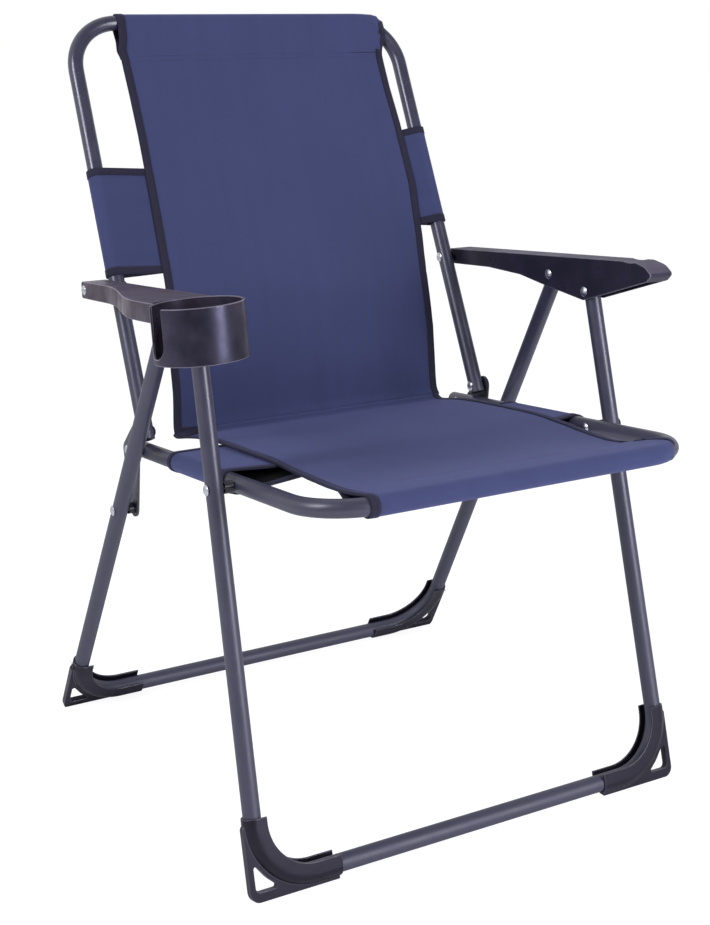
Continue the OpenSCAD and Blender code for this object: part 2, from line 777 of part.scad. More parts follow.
module sling_back() {
    color("#3b416c") chair_at_origin() difference() {
        side_plate(sling_from, sling_w) {
            sleeve_outline(p_top_bar);
            polygon(strip(back_path, cloth_t));
            polygon(strip([along(p_top_bar, back_lean, -tube_r - cloth_gap - cloth_t / 2),
                along(p_top_bar, back_lean, -casing_depth)], 2 * cloth_t));
        }
        frame_plane(p_top_bar, back_lean + turn)
            u_bar(back_x, 0, 2 * bend_r, tube_r + cloth_gap - rivet_gap);
    }
}

// Seat cloth: over the front bar, back along the tubes' top and into the crook.
function seat_cloth(s, h) =
    along(p_seat, seat_lean, s) + h * [sin(seat_slope), cos(seat_slope)];
top_h = tube_r + cloth_gap + cloth_t / 2;
seat_path = concat(
    [seat_cloth(-seat_front, top_h), seat_cloth(seat_to_link - crook_from[0], top_h),
     seat_cloth(seat_to_link - crook_from[1], top_h - crook_dip)],
    [for (t = [-crook_arc : crook_step : 0])
        crook + [crook_r * (cos(t) - 1), crook_r * sin(t)] - crook_off]);

module sling_seat() {
    color("#3b416c") chair_at_origin() difference() {
        side_plate(sling_from, sling_w) {
            sleeve_outline(p_front_bar);
            polygon(strip(seat_path, cloth_t));
        }
        frame_plane(p_front_bar, seat_lean)
            u_bar(seat_x, 0, 2 * bend_r, tube_r + cloth_gap - rivet_gap);
    }
}

// A tab of cloth looped round a side tube: its two layers meet where it is sewn to the sling.
module tab(x, end_x, lift) {
    r = casing_r;
    difference() {
        union() {
            translate([x, 0, 0]) cylinder(r = r, h = tab_len, $fn = tube_fn);
            for (side = [-1, 1]) linear_extrude(tab_len)
                polygon(strip([[x, side * (r - cloth_t / 2)], [end_x, side * touch - lift]], cloth_t));
        }
        translate([x, 0, -past]) cylinder(r = r - cloth_t, h = tab_len + 2 * past, $fn = tube_fn);
    }
}

module back_tab(side) {
    color("#3b416c") chair_at_origin() on_side(side)
        frame_plane(along(p_back_link, back_lean, back_tab_at[side < 0 ? 0 : 1]), back_lean)
        tab(back_x, sling_edge(side) + cloth_t, 0);
}
module back_tab_right() { back_tab(-1); }
module back_tab_left() { back_tab(1); }

module seat_tab(side) {
    color("#3b416c") chair_at_origin() on_side(side)
        frame_plane(along(p_seat, seat_lean, seat_tab_at), seat_lean)
        tab(seat_x, sling_edge(side) - seam_w, top_h - 2 * cloth_t);
}
module seat_tab_right() { seat_tab(-1); }
module seat_tab_left() { seat_tab(1); }

rear_leg_frame();
front_leg_frame();
seat_frame();
back_frame();
shoe_rear_right();
shoe_rear_left();
shoe_front_right();
shoe_front_left();
armrest_cup();
armrest_plain();
link_plate_right();
link_plate_left();
seat_end_plugs();
back_end_plugs();
rivets_rear_leg_arm();
washers_rear_leg_arm();
rivets_front_leg_arm();
rivets_front_leg_seat();
bushes_front_leg_seat();
rivets_seat_link();
bushes_seat_link();
rivets_back_link();
washers_back_link();
rivets_back_arm();
washers_back_arm();
rivet_arm_cup();
rivet_arm_plain();
rivets_rear_leg_link();
bushes_rear_leg_link();
rivet_link_right();
rivet_link_left();
sling_back();
sling_seat();
back_tab_right();
back_tab_left();
seat_tab_right();
seat_tab_left();
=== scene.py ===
"""Looks of a folding camp chair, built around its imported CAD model.

All lengths are metres, angles are degrees. Right is the sitter's right, which is -X, the side
with the cup holder. The chair faces -Y.
"""

import json
import math
from bisect import bisect_left

import bmesh
import bpy
import numpy as np
from bpy.props import FloatProperty, PointerProperty, StringProperty
from mathutils import Matrix, Vector


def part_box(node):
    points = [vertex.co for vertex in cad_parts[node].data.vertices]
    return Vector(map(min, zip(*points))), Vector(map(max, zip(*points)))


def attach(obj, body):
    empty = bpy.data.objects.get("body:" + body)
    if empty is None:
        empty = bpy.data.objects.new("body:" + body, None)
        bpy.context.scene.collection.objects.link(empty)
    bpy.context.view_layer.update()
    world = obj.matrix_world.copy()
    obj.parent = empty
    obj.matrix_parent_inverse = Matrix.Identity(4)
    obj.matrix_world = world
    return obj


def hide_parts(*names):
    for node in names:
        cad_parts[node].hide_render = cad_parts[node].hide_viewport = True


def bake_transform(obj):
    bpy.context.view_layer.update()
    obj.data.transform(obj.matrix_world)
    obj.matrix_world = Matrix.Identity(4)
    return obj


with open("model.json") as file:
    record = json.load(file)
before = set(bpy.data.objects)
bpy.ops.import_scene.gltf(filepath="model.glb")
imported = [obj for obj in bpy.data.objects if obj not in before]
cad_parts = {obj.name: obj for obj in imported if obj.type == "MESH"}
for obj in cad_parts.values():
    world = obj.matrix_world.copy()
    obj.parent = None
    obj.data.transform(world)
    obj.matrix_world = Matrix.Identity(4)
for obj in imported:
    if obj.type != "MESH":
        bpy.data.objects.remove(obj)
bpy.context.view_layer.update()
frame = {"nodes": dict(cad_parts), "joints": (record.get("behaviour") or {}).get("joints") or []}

bl_info = {
    "name": "Folding camp chair",
    "version": (1, 0, 0),
    "blender": (4, 5, 0),
    "location": "View3D > Sidebar > Camp Chair",
    "description": "Dresses the packed frame of a folding camp chair in cloth, plastic and paint",
    "category": "Object",
}

MM = 0.001
SIDES = {"right": -1, "left": 1}

# ---- Places that come from the frame ----

PIVOT = {j["name"]: Vector(j["pos_m"]) for j in frame["joints"]}


def middle(node):
    """The centre of a node's box."""
    low, high = (Vector(c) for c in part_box(node))
    return (low + high) / 2


def in_plane(v):
    """The point moved into the plane X = 0."""
    return Vector((0, v.y, v.z))


def half_span(node):
    """Half the distance between the centre lines of a frame's side tubes."""
    low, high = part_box(node)
    return (high[0] - low[0]) / 2 - TUBE_R


TUBE_R = 9 * MM
BEND_R = 60 * MM
MID_X = middle("front_leg_frame").x
BACK_X = half_span("back_frame")
SEAT_X = half_span("seat_frame")

# The back tubes run up along BACK_UP, and BACK_OUT points behind them.
BACK_FROM = in_plane(PIVOT["back_fold"])
BACK_UP = (in_plane(middle("rivets_back_arm")) - BACK_FROM).normalized()
BACK_OUT = Vector((0, BACK_UP.z, -BACK_UP.y))
BACK_TOP = (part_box("back_frame")[1][2] - TUBE_R - BACK_FROM.z) / BACK_UP.z

# The seat tubes run back along SEAT_IN, and SEAT_UP points above them.
SEAT_FROM = in_plane(PIVOT["seat_fold"])
SEAT_IN = (in_plane(PIVOT["link_right_fold"]) - SEAT_FROM).normalized()
SEAT_UP = Vector((0, -SEAT_IN.z, SEAT_IN.y))
SEAT_FRONT = (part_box("seat_frame")[0][1] + TUBE_R - SEAT_FROM.y) / SEAT_IN.y


def back_at(s, n=0.0, x=0.0):
    """A point s along the back tubes from their lower pivot, n behind them, x from the middle."""
    return BACK_FROM + BACK_UP * s + BACK_OUT * n + Vector((MID_X + x, 0, 0))


def seat_at(s, n=0.0, x=0.0):
    """A point s along the seat tubes from the front legs, n above them, x from the middle."""
    return SEAT_FROM + SEAT_IN * s + SEAT_UP * n + Vector((MID_X + x, 0, 0))


def bend_drop(x, half_w):
    """How far a U tube's end bar has curved away at x from the middle, short of its sides."""
    past = min(abs(x) - (half_w - BEND_R), 0.98 * BEND_R)
    return BEND_R - math.sqrt(BEND_R ** 2 - past ** 2) if past > 0 else 0.0


# ---- Materials ----

# A pale colour laid over moulded faces that look up: dust, and a painted sheen of the bright room
# above.
DUST_AND_SHEEN_COLOUR = "#918b98"
RUBBED_BROWN = "#84666b"


def linear(hex_colour):
    """The linear RGBA of an sRGB hex colour."""
    raw = [int(hex_colour.lstrip("#")[i:i + 2], 16) / 255 for i in (0, 2, 4)]
    return [c / 12.92 if c <= 0.04045 else ((c + 0.055) / 1.055) ** 2.4 for c in raw] + [1.0]


def add(tree, kind, links=None, **settings):
    """Adds a node. Settings name its properties or inputs, links its inputs' sources."""
    node = tree.nodes.new(kind)
    for key, value in settings.items():
        if hasattr(node, key):
            setattr(node, key, value)
        else:
            node.inputs[key.replace("_", " ")].default_value = value
    for key, source in (links or {}).items():
        tree.links.new(source, node.inputs[key])
    return node


def calc(tree, operation, a, b=None):
    """A maths node's result from a socket and, where it takes two, a number or a socket."""
    node = add(tree, "ShaderNodeMath", {0: a}, operation=operation)
    if isinstance(b, float):
        node.inputs[1].default_value = b
    elif b:
        tree.links.new(b, node.inputs[1])
    return node.outputs[0]


def ranged(tree, value, low, high, to_low, to_high, **settings):
    """A value's span from low to high, mapped to another span and clamped to it."""
    return add(tree, "ShaderNodeMapRange", {"Value": value}, From_Min=low, From_Max=high,
               To_Min=to_low, To_Max=to_high, **settings).outputs["Result"]


def tinted(tree, hex_colour, value):
    """A colour made darker or lighter by a factor."""
    return add(tree, "ShaderNodeHueSaturation", {"Value": value},
               Color=linear(hex_colour)).outputs["Color"]


def toned(tree, colour, hex_colour, share):
    """A colour with a share of another one laid over it."""
    mix = add(tree, "ShaderNodeMix", {0: share, 6: colour}, data_type="RGBA")
    mix.inputs[7].default_value = linear(hex_colour)
    return mix.outputs[2]


def noise(tree, at, scale, detail, **settings):
    """Noise about 1/scale metres across."""
    return add(tree, "ShaderNodeTexNoise", {"Vector": at}, Scale=scale, Detail=detail,
               **settings).outputs["Fac"]


def object_space(tree):
    """Places in metres, as the pattern scales need them."""
    return add(tree, "ShaderNodeTexCoord").outputs["Object"]


def axis_of(tree, vector, axis):
    """One component of a vector."""
    return add(tree, "ShaderNodeSeparateXYZ", {"Vector": vector}).outputs[axis]


def new_material(name, hex_colour, roughness, **shader):
    """A material of one colour, its node tree and its shader node."""
    m = bpy.data.materials.new(name)
    m.use_nodes = True
    t = m.node_tree
    p = t.nodes["Principled BSDF"]
    p.inputs["Base Color"].default_value = linear(hex_colour)
    p.inputs["Roughness"].default_value = roughness
    for key, value in shader.items():
        p.inputs[key.replace("_", " ")].default_value = value
    m.diffuse_color = linear(hex_colour)
    return m, t, p


def bumped(tree, shader, height, strength, depth_mm, **sources):
    """Bumps a shader by a height, and links its other inputs to their sources."""
    bump = add(tree, "ShaderNodeBump", {"Height": height}, Strength=strength,
               Distance=depth_mm * MM)
    tree.links.new(bump.outputs["Normal"], shader.inputs["Normal"])
    for key, source in sources.items():
        tree.links.new(source, shader.inputs[key.replace("_", " ")])


def steel_paint(name, hex_colour):
    """Powder coat on steel tube: satin, with a faint orange peel about 1.5 mm across.

    It is duller towards the floor, where dust and scuffs gather.
    """
    m, t, p = new_material(name, hex_colour, 0.3, Specular_IOR_Level=0.65)
    at = object_space(t)
    peel = noise(t, at, 650.0, 2.0)
    dust = noise(t, at, 38.0, 5.0, Roughness=0.6)
    rough = ranged(t, dust, 0.3, 0.7, 0.22, 0.32)
    scuffs = ranged(t, axis_of(t, at, "Z"), 0.05, 0.65, 0.26, 0.0)
    colour = tinted(t, hex_colour, ranged(t, dust, 0.3, 0.7, 0.92, 1.08))
    bumped(t, p, peel, 0.06, 0.4, Base_Color=colour, Roughness=calc(t, "ADD", rough, scuffs))
    return m


def moulded(name, hex_colour, roughness, grain=0.10, spread=0.12, dust=0.10, handled=None,
            **shader):
    """Moulded plastic: spark-eroded grain about 0.8 mm across, uneven, and paler on top: dust,
    with a painted sheen.

    handled is the span along Y over which it turns brown and paler from use.
    """
    m, t, p = new_material(name, hex_colour, roughness, **{"Specular_IOR_Level": 0.45, **shader})
    at = object_space(t)
    fine = noise(t, at, 1250.0, 2.0)
    wide = noise(t, at, 32.0, 4.0)
    colour = tinted(t, hex_colour, ranged(t, wide, 0.37, 0.63, 1 - spread, 1 + spread))
    facing = add(t, "ShaderNodeNewGeometry").outputs["Normal"]
    # Faces that look up turn paler and rougher, by up to the share dust: partly dust, partly a
    # painted sheen of the bright room above.
    pale_top = ranged(t, axis_of(t, facing, "Z"), 0.3, 0.95, 0.0, dust)
    colour = toned(t, colour, DUST_AND_SHEEN_COLOUR, pale_top)
    if handled:
        paler = ranged(t, axis_of(t, at, "Y"), *handled, 0.0, 0.24)
        colour = toned(t, colour, RUBBED_BROWN, calc(t, "MULTIPLY", paler, wide))
    rough = ranged(t, wide, 0.37, 0.63, roughness + 0.1, roughness - 0.06)
    bumped(t, p, fine, grain, 0.3, Base_Color=colour, Roughness=calc(t, "ADD", rough, pale_top))
    return m


def zinc(name, hex_colour):
    """Zinc-plated rivet: bright metal with a slightly uneven tumbled finish."""
    m, t, p = new_material(name, hex_colour, 0.32, Metallic=1.0)
    marks = noise(t, object_space(t), 900.0, 3.0)
    bumped(t, p, marks, 0.08, 0.2, Roughness=ranged(t, marks, 0.3, 0.7, 0.24, 0.42))
    return m


def woven(name, hex_colour, pitch_mm, depth, roughness=0.82, sheen=0.35, streak=0.06):
    """Plain-woven polyester with a UV map in metres: warp and weft threads at pitch_mm."""
    m, t, p = new_material(name, hex_colour, roughness, Specular_IOR_Level=0.25,
                           Sheen_Weight=sheen, Sheen_Roughness=0.5)
    p.inputs["Sheen Tint"].default_value = linear("#8f95c8")
    at = add(t, "ShaderNodeUVMap", uv_map="cloth").outputs["UV"]
    warp, weft = (
        calc(t, "ABSOLUTE", calc(t, "SINE", calc(t, "MULTIPLY", axis_of(t, at, axis),
                                                 math.pi / (pitch_mm * MM))))
        for axis in ("X", "Y"))
    threads = calc(t, "MULTIPLY", warp, weft)
    uneven = noise(t, at, 9.0, 5.0, Roughness=0.55)
    # Slubs run along the warp, some 17 mm apart and half a metre long.
    slub = add(t, "ShaderNodeMapping", {"Vector": at})
    slub.inputs["Scale"].default_value = (60.0, 2.2, 1.0)
    both = calc(t, "ADD", uneven, noise(t, slub.outputs[0], 1.0, 3.0))
    shade = ranged(t, both, 0.7, 1.3, 1 - streak, 1 + streak)
    shade = calc(t, "MULTIPLY", shade, ranged(t, threads, 0.0, 1.0, 0.86, 1.06))
    bumped(t, p, threads, depth, 0.35, Base_Color=tinted(t, hex_colour, shade))
    return m


# ---- Mesh tools ----


def new_object(name, mesh, material):
    """An object in the scene with one material."""
    obj = bpy.data.objects.new(name, mesh)
    bpy.context.scene.collection.objects.link(obj)
    mesh.materials.clear()
    mesh.materials.append(material)
    return obj


def smooth_object(name, verts, faces, material):
    """An object of smooth faces, with a UV map that the caller fills."""
    mesh = bpy.data.meshes.new(name)
    mesh.from_pydata(verts, [], faces)
    mesh.uv_layers.new(name="cloth")
    mesh.polygons.foreach_set("use_smooth", [True] * len(mesh.polygons))
    return new_object(name, mesh, material)


def skin(n, k, closed, base=0):
    """Faces over n rows of k points. closed joins each row's ends and caps the rows' ends."""
    faces = []
    for i in range(n - 1):
        for j in range(k if closed else k - 1):
            a, b = base + i * k + j, base + i * k + (j + 1) % k
            faces.append((a, b, b + k, a + k))
    if closed:
        faces.append(tuple(base + j for j in range(k - 1, -1, -1)))
        faces.append(tuple(base + (n - 1) * k + j for j in range(k)))
    return faces


def grid(name, rows, uv, material, closed=False):
    """A mesh over rows of points of equal length, each with its place in the UV map."""
    obj = smooth_object(name, [tuple(p) for row in rows for p in row],
                        skin(len(rows), len(rows[0]), closed), material)
    flat = [c for row in uv for c in row]
    for loop, place in zip(obj.data.loops, obj.data.uv_layers["cloth"].data):
        place.uv = flat[loop.vertex_index]
    return obj


def settle(obj):
    """Applies the modifiers."""
    bpy.context.view_layer.update()
    depsgraph = bpy.context.evaluated_depsgraph_get()
    made = bpy.data.meshes.new_from_object(obj.evaluated_get(depsgraph))
    obj.modifiers.clear()
    obj.data = made
    return obj


def joined(name, objs):
    """Joins objects into the first one."""
    bpy.ops.object.select_all(action="DESELECT")
    for o in objs:
        o.select_set(True)
    bpy.context.view_layer.objects.active = objs[0]
    bpy.ops.object.join()
    objs[0].name = name
    return objs[0]


def lengths(points):
    """The length of a polyline up to each of its points."""
    run = [0.0]
    for a, b in zip(points, points[1:]):
        run.append(run[-1] + (b - a).length)
    return run


def point_at(points, run, want):
    """The point at a length along a polyline, and the number of its segment."""
    k = min(max(bisect_left(run, want) - 1, 0), len(run) - 2)
    share = (want - run[k]) / max(run[k + 1] - run[k], 1e-12)
    return points[k].lerp(points[k + 1], min(1.0, share)), k


def stations(points, count):
    """Points that cut a polyline into count equal lengths, with both of its ends."""
    run = lengths(points)
    return [point_at(points, run, run[-1] * i / count)[0] for i in range(count + 1)]


def smooth_path(points, step=2.5 * MM, fineness=24):
    """Points about a step apart along a Catmull-Rom curve through the given ones."""
    p = [points[0] * 2 - points[1]] + list(points) + [points[-1] * 2 - points[-2]]
    fine = []
    for a, b, c, d in zip(p, p[1:], p[2:], p[3:]):
        for t in (k / fineness for k in range(fineness)):
            fine.append(0.5 * (2 * b + (c - a) * t + (2 * a - 5 * b + 4 * c - d) * t * t
                               + (3 * b - a - 3 * c + d) * t ** 3))
    fine.append(points[-1])
    return stations(fine, max(2, round(lengths(fine)[-1] / step)))


# ---- Cloth ----

# Thickness of the cloth and of its tape, and the space between the cloth and a tube.
CLOTH_T = 1.1 * MM
BIND_T = 0.7 * MM
WRAP_GAP = 0.35 * MM
# Radius of a thread, and of the thick ones. The tape's row lies inside the tape's inner edge.
THREAD_R, THICK_THREAD_R = 0.28 * MM, 0.8 * MM
THREAD_INSET = 1.8 * MM


def cloth_sheet(name, columns, material, lining=None):
    """A sheet of cloth from its columns of points, thickened evenly on both faces.

    lining is the material of its reverse, where that differs.
    """
    rows = list(zip(*columns))
    across = [lengths(r) for r in rows]
    along = [lengths(c) for c in columns]
    uv = [[(across[i][j], along[j][i]) for j in range(len(columns))] for i in range(len(rows))]
    obj = grid(name, rows, uv, material)
    solid = obj.modifiers.new("thickness", "SOLIDIFY")
    if lining:
        obj.data.materials.append(lining)
        solid.material_offset = 1
    solid.thickness = CLOTH_T
    solid.offset = 0
    return settle(obj)


def tape(name, edge, inward, normal, width, material):
    """Binding tape folded round a cloth's edge. edge, inward and normal are lists along it."""
    half = CLOTH_T / 2 + BIND_T
    # The section as shares of the width and of half the thickness: the upper face inwards,
    # the thin inner end, the lower face back out, and the fold round the edge.
    upper = [(0.0, 1.0), (0.25, 1.0), (0.55, 1.0), (1.0, 0.96), (1.0, 0.55)]
    fold = [(-0.7 * MM / width, -0.6), (-0.9 * MM / width, 0.0), (-0.7 * MM / width, 0.6)]
    section = upper + [(a, -b) for a, b in reversed(upper)] + fold
    rows = [[p + u * (a * width) + n * (b * half) for a, b in section]
            for p, u, n in zip(edge, inward, normal)]
    uv = [[(i * width / 6, at) for i in range(len(section))] for at in lengths(edge)]
    return grid(name, rows, uv, material, closed=True)


def stitches(name, line, normal, material, r=THREAD_R, pitch=3.4 * MM, length=2.5 * MM):
    """A row of machine stitches along a line, each a flattened thread that dips at its ends."""
    run = lengths(line)
    verts, faces = [], []
    shares, ring = (0.0, 0.22, 0.78, 1.0), 6
    for c in range(int(run[-1] / pitch)):
        faces += skin(len(shares), ring, True, len(verts))
        for share in shares:
            p, k = point_at(line, run, c * pitch + (pitch - length) / 2 + share * length)
            n = normal[k]
            side = (line[k + 1] - line[k]).normalized().cross(n)
            end = share in (0.0, 1.0)
            centre = p - n * (r * 0.7 if end else 0)
            size = r * (0.45 if end else 1.0)
            verts += [tuple(centre + side * (size * math.cos(a)) + n * (size * 0.8 * math.sin(a)))
                      for a in (math.tau * i / ring for i in range(ring))]
    return smooth_object(name, verts, faces, material)


def column_normal(columns, j, i):
    """The cloth's normal at a point of a column, across its face."""
    c = columns[j]
    d = c[min(i + 1, len(c) - 1)] - c[max(i - 1, 0)]
    other = columns[j + 1][i] if j + 1 < len(columns) else c[i]
    here = c[i] if j + 1 < len(columns) else columns[j - 1][i]
    return d.cross(other - here).normalized()


# Edges of the sling along its tubes, as distances from the middle plane to the right and left.
BACK_EDGE = [(491, -162, 208), (470, -162, 204), (456, -164.5, 199.5), (443, -162.4, 197.4),
             (400, -161, 197.8), (350, -160.2, 200.8), (270, -161, 202), (198, -162.6, 194.4),
             (172, -163.3, 190.6), (152, -164, 188.8), (135, -164.4, 189.6), (111, -165, 192.2),
             (87, -165.2, 194.6), (45, -164, 194.6), (0, -166, 194)]
SEAT_EDGE = [(-166, -173, 201), (-140, -174.5, 198), (-118, -173.5, 189), (-100, -170, 184),
             (-75, -166, 185), (-50, -162, 189), (-20, -160, 192), (10, -161.5, 194),
             (40, -163.5, 193), (70, -167, 190), (100, -168.5, 187), (140, -168, 185.5),
             (180, -168, 187), (253, -168, 192)]
# How far the seat's left edge hangs below its middle.
SEAT_LEFT_DROP = [(-131, 0.0), (-105, 4.0), (-75, 3.0), (-40, 1.0), (0, 0.0)]
# Paths of the sling, as distances along the tubes and off their plane. The two sheets meet in
# the crook, which is a soft bend but for the right edge, where the corner is sharp.
HANG = [(400, 0.0), (340, 0.0), (280, 0.0), (220, 0.0), (180, 0.0), (160, 0.6), (140, 4.0),
        (115, 12.5), (89, 22.5), (60, 32.2), (35, 40.5)]
HANG_SOFT = [(18, 45.4), (10, 46.2), (2.8, 43.9)]
HANG_SHARP = [(18, 46.9), (7.5, 50.3), (-0.5, 50.2)]
SEAT_RUN = [(-118, 6.6), (-75, 3.6), (-32, 2.8), (15, 6.0), (60, 11.0), (110, 13.0), (160, 13.2),
            (204, 11.2), (236, 7.6)]
SEAT_SOFT = [(256, 5.4), (263.2, 6.4), (269.3, 10.0)]
SEAT_SHARP = [(258, 4.2), (268, 3.2), (274.1, 4.8)]
# The share of the width, from the right edge, over which the corner turns soft.
SOFT_FROM = 0.16
# Two points of each sheet's path; between them, near the crook, the cloth goes with the link plate
# rather than its own frame.
BACK_BEND = ((75, 28), (4, 50))
SEAT_BEND = ((205, 11), (272, 5))
# Width of the casing round each bar, and the distance to its second row of stitches.
BACK_CASING = 43 * MM
SEAT_CASING = 48 * MM
SEAM_PITCH = 5.8 * MM
# The fold over the top bar stays nearly straight where the tube bends down below it. Its left
# corner is pulled down.
FOLD_SAG = 0.1
FOLD_R = 2.2 * MM
CORNER_X, CORNER_W, CORNER_DROP = 198 * MM, 10 * MM, 8 * MM
# How far the middle of each sheet sags, and the height of its slow ripples.
BACK_SAG, SEAT_SAG, RIPPLE = 3.0 * MM, 4.0 * MM, 0.5 * MM
# Points of a sheet across and along it, and the rows that lie in the hem before the seam.
COLUMNS = 56
BACK_ROWS = 190
SEAT_ROWS = 180
HEM_ROWS = 12
BACK_TAPE_W = 8.8 * MM
SEAT_TAPE_W = 8.5 * MM
TAB_TAPE_W = 8.2 * MM


def from_table(table, s, column=1):
    """A length at s, from a table in mm whose rows start with s."""
    rows = sorted(table)
    return float(np.interp(s / MM, [r[0] for r in rows], [r[column] for r in rows])) * MM


def edge_at(table, s, side):
    """The distance of the right or left edge from the middle at s."""
    return from_table(table, s, 1 if side < 0 else 2)


def x_at(table, s, share):
    """The distance from the middle at s, for a share of the width from the right edge."""
    return edge_at(table, s, -1) * (1 - share) + edge_at(table, s, 1) * share


def crook(x_share, soft, sharp):
    """The end of a sheet's path at a share of its width, between its soft and sharp forms."""
    f = min(1.0, x_share / SOFT_FROM)
    return [Vector((*a, 0)).lerp(Vector((*b, 0)), 1 - f) * MM for a, b in zip(soft, sharp)]


def wrap_radius():
    """The radius of the middle of the cloth where it lies round a tube."""
    return TUBE_R + WRAP_GAP + CLOTH_T / 2


def half_turn(bar, r, way):
    """Points round a bar's outer side, from behind it (way 1) or from below it (way -1)."""
    return [(bar + way * r * math.sin(a), way * r * math.cos(a))
            for a in (math.radians(d) for d in range(0, 181, 12))]


def sheet_path(points, table, end, count):
    """A smooth path through points, a table in mm and the crook's end, cut into equal parts."""
    flat = [Vector((s, n, 0)) for s, n in points]
    flat += [Vector((s * MM, n * MM, 0)) for s, n in table]
    return stations(smooth_path(flat + end), count)


def swell(s, first, last):
    """0 at first and before, 1 halfway, and 0 at last and beyond."""
    return math.sin(math.pi * min(1.0, max(0.0, (s - first) / (last - first))))


def back_profile(x_share, count):
    """One column of the back cloth: over the top bar from behind, then down to the crook."""
    r = wrap_radius()
    x_top = x_at(BACK_EDGE, BACK_EDGE[0][0] * MM, x_share)
    fall = bend_drop(x_top, BACK_X)
    corner = min(1.0, max(0.0, (x_top - CORNER_X) / CORNER_W))
    fold = BACK_TOP + r - FOLD_SAG * fall - CORNER_DROP * corner ** 2
    tube = BACK_TOP - fall
    slack = fold - (tube + r)
    top_r = max(FOLD_R, r - 0.5 * slack)
    seam = BACK_TOP - BACK_CASING
    casing = seam + 0.35 * (tube - seam)
    behind = [(seam - 3 * MM, 1.3 * MM), (seam, 1.2 * MM), (casing, 0.5 * r),
              (tube - 0.4 * r, 0.95 * r)]
    top = half_turn(fold - top_r, top_r, 1)
    if slack > 4 * MM:
        top = [(tube, r)] + top + [(tube, -r)]
    front = [(tube - 0.4 * r, -0.96 * r), (casing, -0.45 * r), (seam + 1 * MM, -0.9 * MM),
             (seam - 12 * MM, 0.0)]
    out = []
    for p in sheet_path(behind + top + front, HANG, crook(x_share, HANG_SOFT, HANG_SHARP), count):
        s, n = p.x, p.y
        x = x_at(BACK_EDGE, s, x_share)
        ease = swell(s, 20 * MM, seam)
        dip = BACK_SAG * (1 - (2 * x_share - 1) ** 2) * ease
        wave = RIPPLE * math.sin(37 * x + 3.1) * math.sin(11 * s + 0.7) * ease
        out.append(back_at(s, n + dip + wave, x))
    return out


def seat_profile(x_share, count):
    """One column of the seat cloth: round the front bar from below, then back to the crook."""
    r = wrap_radius()
    bar = SEAT_FRONT + bend_drop(x_at(SEAT_EDGE, SEAT_FRONT, x_share), SEAT_X)
    seam = SEAT_FRONT + SEAT_CASING
    below = [(seam + 3 * MM, 5.2 * MM), (seam, 4.9 * MM), (seam + 0.4 * (bar - seam), -0.55 * r),
             (bar + 0.3 * r, -0.97 * r)]
    front = half_turn(bar, r, -1) + [(bar + 0.4 * r, 0.99 * r)]
    path = sheet_path(below + front, SEAT_RUN, crook(x_share, SEAT_SOFT, SEAT_SHARP), count)
    out = []
    for i, p in enumerate(path):
        s, n = p.x, p.y
        x = x_at(SEAT_EDGE, s, x_share)
        if i > 0.2 * count:
            ease = swell(s, SEAT_FRONT + 20 * MM, SEAT_SHARP[-1][0] * MM)
            n -= SEAT_SAG * (1 - (2 * x_share - 1) ** 2) * ease
            n -= from_table(SEAT_LEFT_DROP, s) * max(0.0, 2 * x_share - 1) ** 3
            n += RIPPLE * math.sin(41 * x + 1.3) * math.sin(13 * s) * ease
        out.append(seat_at(s, n, x))
    return out


def across(edge, inner):
    """Directions from an edge into its sheet, square to the edge."""
    out = []
    for i, (a, b) in enumerate(zip(edge, inner)):
        along = (edge[min(i + 1, len(edge) - 1)] - edge[max(i - 1, 0)]).normalized()
        out.append(((b - a) - along * (b - a).dot(along)).normalized())
    return out


def edge_tape(name, columns, j, width, material):
    """Tape round the first or last column of a sheet, with its directions in and off."""
    edge = columns[j]
    inward = across(edge, columns[j - 1 if j else 1])
    normal = [column_normal(columns, j, i) for i in range(len(edge))]
    return tape(name, edge, inward, normal, width, material), inward, normal


def edge_tapes(name, columns, width, material, thread):
    """Binding tapes with their stitches along both side edges of a sheet."""
    made = []
    for label, j in (("right", 0), ("left", len(columns) - 1)):
        bound, inward, normal = edge_tape(f"{name}_{label}", columns, j, width, material)
        made.append(bound)
        for face in (-1, 1):
            line = [p + u * (width - THREAD_INSET) + n * (face * (CLOTH_T / 2 + BIND_T))
                    for p, u, n in zip(columns[j], inward, normal)]
            made.append(stitches(f"{name}_{label}_thread", line, [n * face for n in normal],
                                 thread))
    return joined(name, made)


def seam_row(columns, origin, along, after, lift, material, name, span=(0.04, 0.96),
             r=THREAD_R):
    """Stitches across a sheet, where its columns pass a point as measured along a direction.

    The search starts at row after. The stitches cover a span of the width, lifted off the cloth.
    """
    line, normal = [], []
    for j, c in enumerate(columns):
        rise = [(p - origin).dot(along) for p in c]
        i = next(i for i in range(after, len(c) - 1) if rise[i] * rise[i + 1] <= 0)
        n = column_normal(columns, j, i)
        line.append(c[i].lerp(c[i + 1], rise[i] / (rise[i] - rise[i + 1])) + n * lift)
        normal.append(n if lift > 0 else -n)
    run = lengths(line)
    keep = [k for k, at in enumerate(run) if span[0] < at / run[-1] < span[1]]
    return stitches(name, [line[k] for k in keep], [normal[k] for k in keep], material, r=r)


def folded_corner(name, columns, material, tall, side, wide=7, steps=6):
    """The right edge's tape, folded over a sheet's end and tapering towards its middle.

    tall is in rows, wide in columns, and side picks the face that it lies on.
    """
    last = len(columns[0]) - 1
    patch = []
    for j in range(wide + 1):
        top = last - tall * (1 - 0.75 * j / wide)
        column = []
        for k in range(steps + 1):
            at = top + (last - top) * k / steps
            i = min(int(at), last - 1)
            point = columns[j][i].lerp(columns[j][i + 1], at - i)
            column.append(point + column_normal(columns, j, i) * (side * (CLOTH_T / 2 + BIND_T)))
        patch.append(column)
    return cloth_sheet(name, patch, material)


